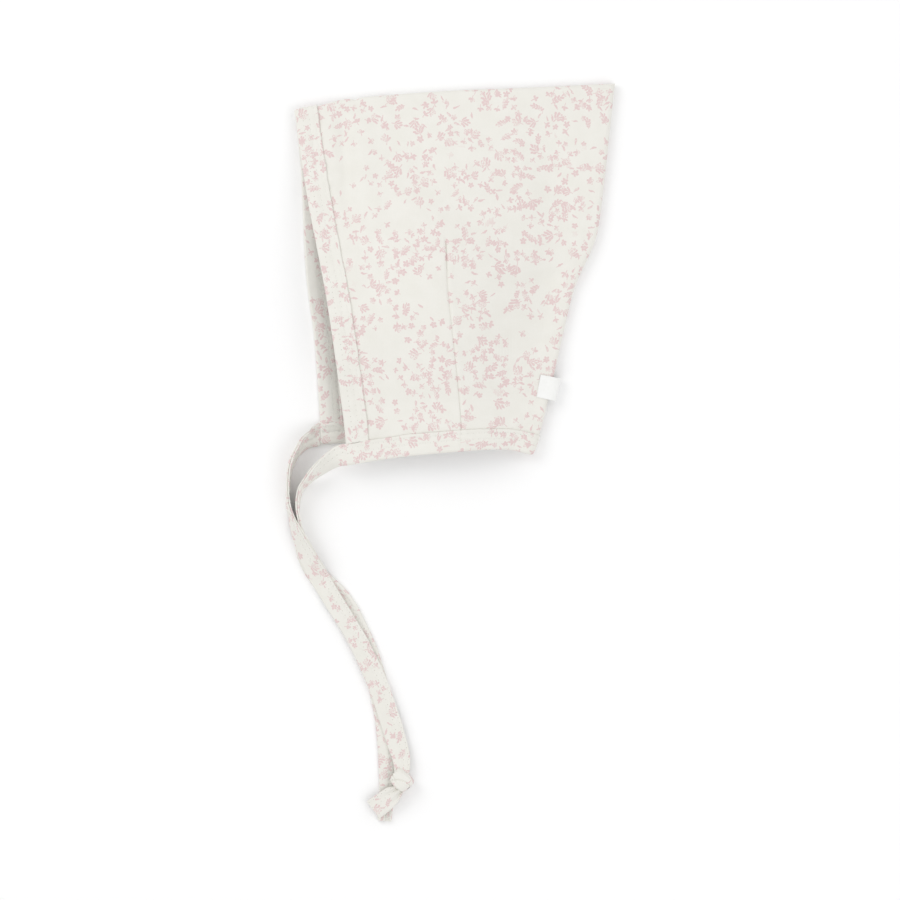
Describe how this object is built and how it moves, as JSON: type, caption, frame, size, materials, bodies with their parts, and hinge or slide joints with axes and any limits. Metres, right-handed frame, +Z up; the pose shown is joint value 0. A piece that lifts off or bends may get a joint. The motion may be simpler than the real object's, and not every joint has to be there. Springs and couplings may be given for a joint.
{
  "type": "baby's pixie bonnet",
  "caption": "Soft baby's bonnet with a pointed peak, folded flat on its side, with bound face and neck edges, long chin ties, a knot near a tie end and a plain tag on the back seam",
  "frame": {"origin": "the middle of the foot of the whole bonnet's box as it lies on its side, ties included", "axes": "+X from the face opening towards the back seam, +Y from the tie ends towards the top fold, +Z up from the surface that it lies on"},
  "size_m": [0.1654, 0.3706, 0.0244],
  "materials": {
    "printed_jersey": "fine cotton jersey, ivory with a pale pink sprig print",
    "jersey_binding": "folded cotton jersey strip with two rows of needle stitches",
    "woven_tape": "smooth white woven tape, blank"
  },
  "bodies": {
    "root": {"crown": "printed_jersey", "face_band": "jersey_binding", "neck_band": "jersey_binding", "near_tie": "jersey_binding", "far_tie": "jersey_binding", "seam_tag": "woven_tape"}
  },
  "joints": []
}
